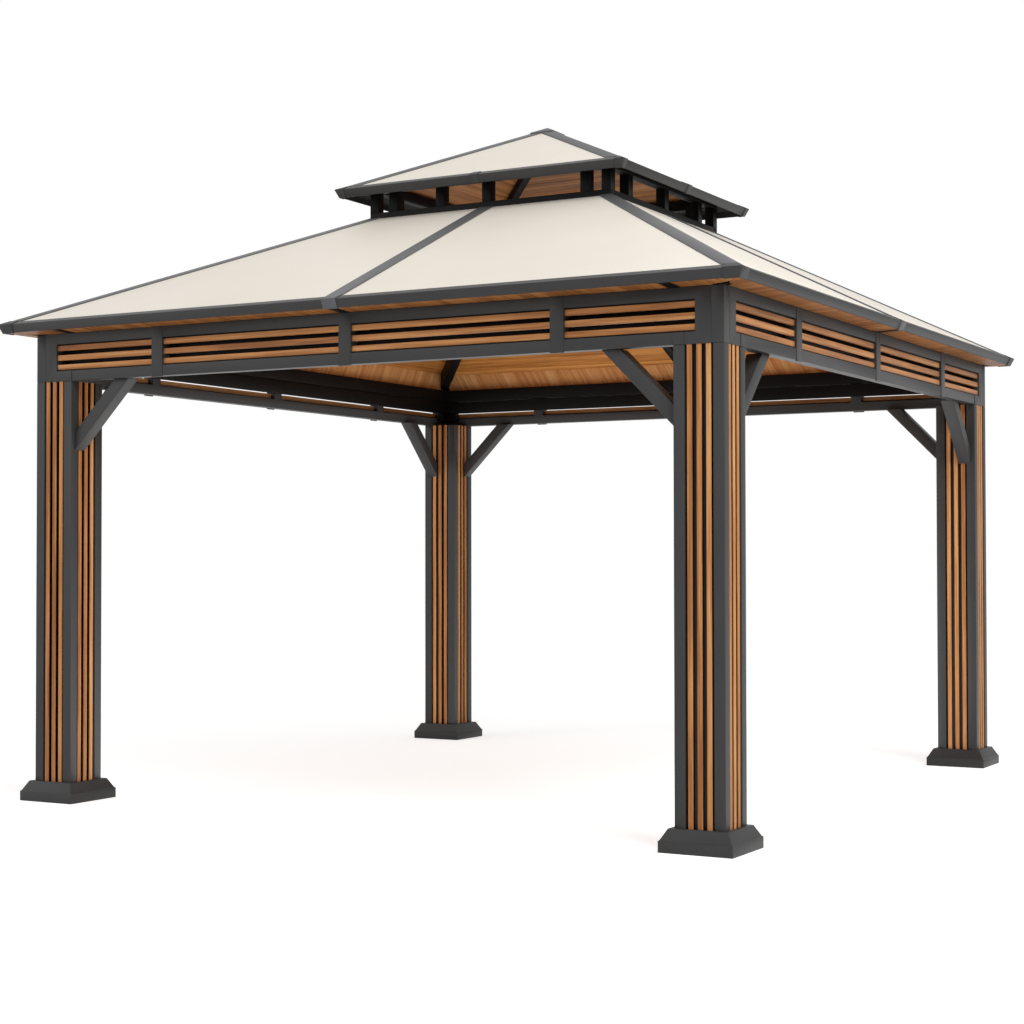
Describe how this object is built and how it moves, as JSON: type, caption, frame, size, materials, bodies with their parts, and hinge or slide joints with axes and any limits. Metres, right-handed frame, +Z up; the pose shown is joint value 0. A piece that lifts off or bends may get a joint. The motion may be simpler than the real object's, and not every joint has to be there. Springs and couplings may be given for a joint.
{
  "type": "metal gazebo",
  "caption": "Free-standing garden gazebo: slatted metal posts and beams carry a two-tier hip roof with a vent ring and wood-look ceiling.",
  "frame": {"origin": "on the ground, in the middle of the plan", "axes": "+Z up, the front looks along -Y, +X to its right"},
  "size_m": [3.865, 4.065, 3.438],
  "materials": {
    "frame_metal": "matt powder coat, dark grey",
    "base_metal": "matt powder coat, dark grey",
    "brace_metal": "matt powder coat, dark grey",
    "rafter_metal": "matt powder coat, dark grey",
    "vent_metal": "matt powder coat, dark grey",
    "trim_metal": "matt powder coat, dark grey",
    "roof_metal": "fine-textured cream coating on sheet steel",
    "slat_wood": "warm brown wood-grain finish",
    "ceiling_wood": "honey brown wood-grain boards"
  },
  "bodies": {
    "root": {"apex_cap": "trim_metal", "base_cover_back_left": "base_metal", "base_cover_back_right": "base_metal", "base_cover_front_left": "base_metal", "base_cover_front_right": "base_metal", "beam_back": "frame_metal", "beam_front": "frame_metal", "beam_left": "frame_metal", "beam_right": "frame_metal", "beam_slats_back": "slat_wood", "beam_slats_front": "slat_wood", "beam_slats_left": "slat_wood", "beam_slats_right": "slat_wood", "eave_caps": "trim_metal", "foot_plates": "frame_metal", "knee_braces_back_left": "brace_metal", "knee_braces_back_right": "brace_metal", "knee_braces_front_left": "brace_metal", "knee_braces_front_right": "brace_metal", "ledger_rails": "rafter_metal", "lower_ceiling": "ceiling_wood", "lower_eave": "trim_metal", "lower_hip_covers": "trim_metal", "lower_rafters": "rafter_metal", "lower_rib_covers": "trim_metal", "lower_roof_back": "roof_metal", "lower_roof_front": "roof_metal", "lower_roof_left": "roof_metal", "lower_roof_right": "roof_metal", "post_back_left": "frame_metal", "post_back_right": "frame_metal", "post_front_left": "frame_metal", "post_front_right": "frame_metal", "post_slats_back_left": "slat_wood", "post_slats_back_right": "slat_wood", "post_slats_front_left": "slat_wood", "post_slats_front_right": "slat_wood", "upper_ceiling": "ceiling_wood", "upper_eave": "trim_metal", "upper_hip_covers": "trim_metal", "upper_rafters": "rafter_metal", "upper_roof": "roof_metal", "vent_curb": "vent_metal", "vent_plate": "vent_metal", "vent_posts": "vent_metal"}
  },
  "joints": []
}
